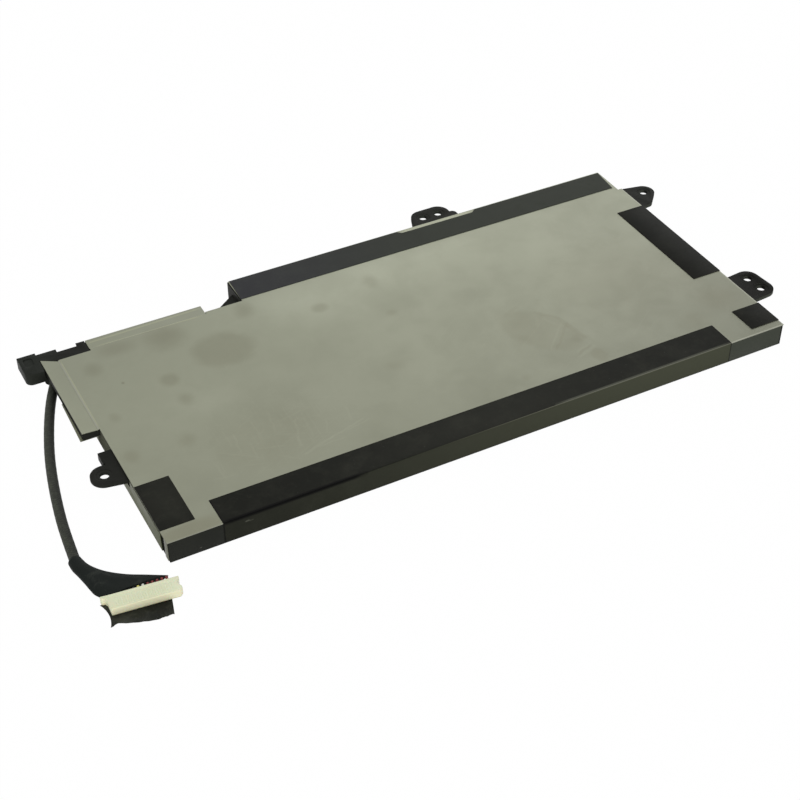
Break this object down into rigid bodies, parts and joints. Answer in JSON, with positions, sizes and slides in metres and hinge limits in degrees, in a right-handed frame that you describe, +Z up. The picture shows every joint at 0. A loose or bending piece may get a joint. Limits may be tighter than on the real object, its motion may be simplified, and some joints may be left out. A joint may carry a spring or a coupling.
{
  "type": "laptop battery",
  "caption": "Flat laptop battery pack with pouch cells in a moulded frame, bare metal covers, black tapes, screw ears and a short lead with a flat connector.",
  "frame": {"origin": "middle of the pack's box at the height of its flat underside, without the lead", "axes": "+X along the pack to the right, +Y from the front wall to the rear bar, +Z up from the underside to the metal cover"},
  "size_m": [0.2757, 0.1482, 0.0087],
  "materials": {
    "frame_plastic": "fine moulded texture",
    "cover_metal": "satin with soft stains",
    "tray_metal": "satin",
    "tape_black": "satin film",
    "cell_pouch": "matt laminate",
    "nickel": "plain",
    "adhesive": "matt",
    "foam": "open foam",
    "board_laminate": "solder mask",
    "chip_black": "matt",
    "ceramic": "matt",
    "film_amber": "gloss film",
    "sleeve_black": "soft mottled sleeve",
    "connector_cream": "semi-matt",
    "wire_black": "insulation",
    "wire_yellow": "insulation",
    "wire_white": "insulation",
    "wire_red": "insulation"
  },
  "bodies": {
    "root": {"frame": "frame_plastic", "bottom_tray": "tray_metal", "top_plate": "cover_metal", "cell_left": "cell_pouch", "cell_middle": "cell_pouch", "cell_right": "cell_pouch", "cell_adhesives": "adhesive", "foam_strips": "foam", "cell_tabs": "nickel", "negative_wire": "wire_black", "protection_board": "board_laminate", "power_switches": "chip_black", "gauge_chip": "chip_black", "sense_resistor": "chip_black", "board_fuse": "ceramic", "board_capacitors": "ceramic", "lead_header": "connector_cream", "board_film": "film_amber", "thermistor": "chip_black", "front_tape": "tape_black", "back_tape": "tape_black", "left_tape": "tape_black", "right_tape_long": "tape_black", "right_tape_short": "tape_black", "battery_lead": "sleeve_black", "lead_grommet": "sleeve_black", "inner_wires": "wire_black", "connector_housing": "connector_cream", "connector_contacts": "nickel", "black_wires": "wire_black", "yellow_wire": "wire_yellow", "white_wire": "wire_white", "red_wires": "wire_red", "lead_boot": "sleeve_black", "connector_flap": "tape_black"}
  },
  "joints": []
}
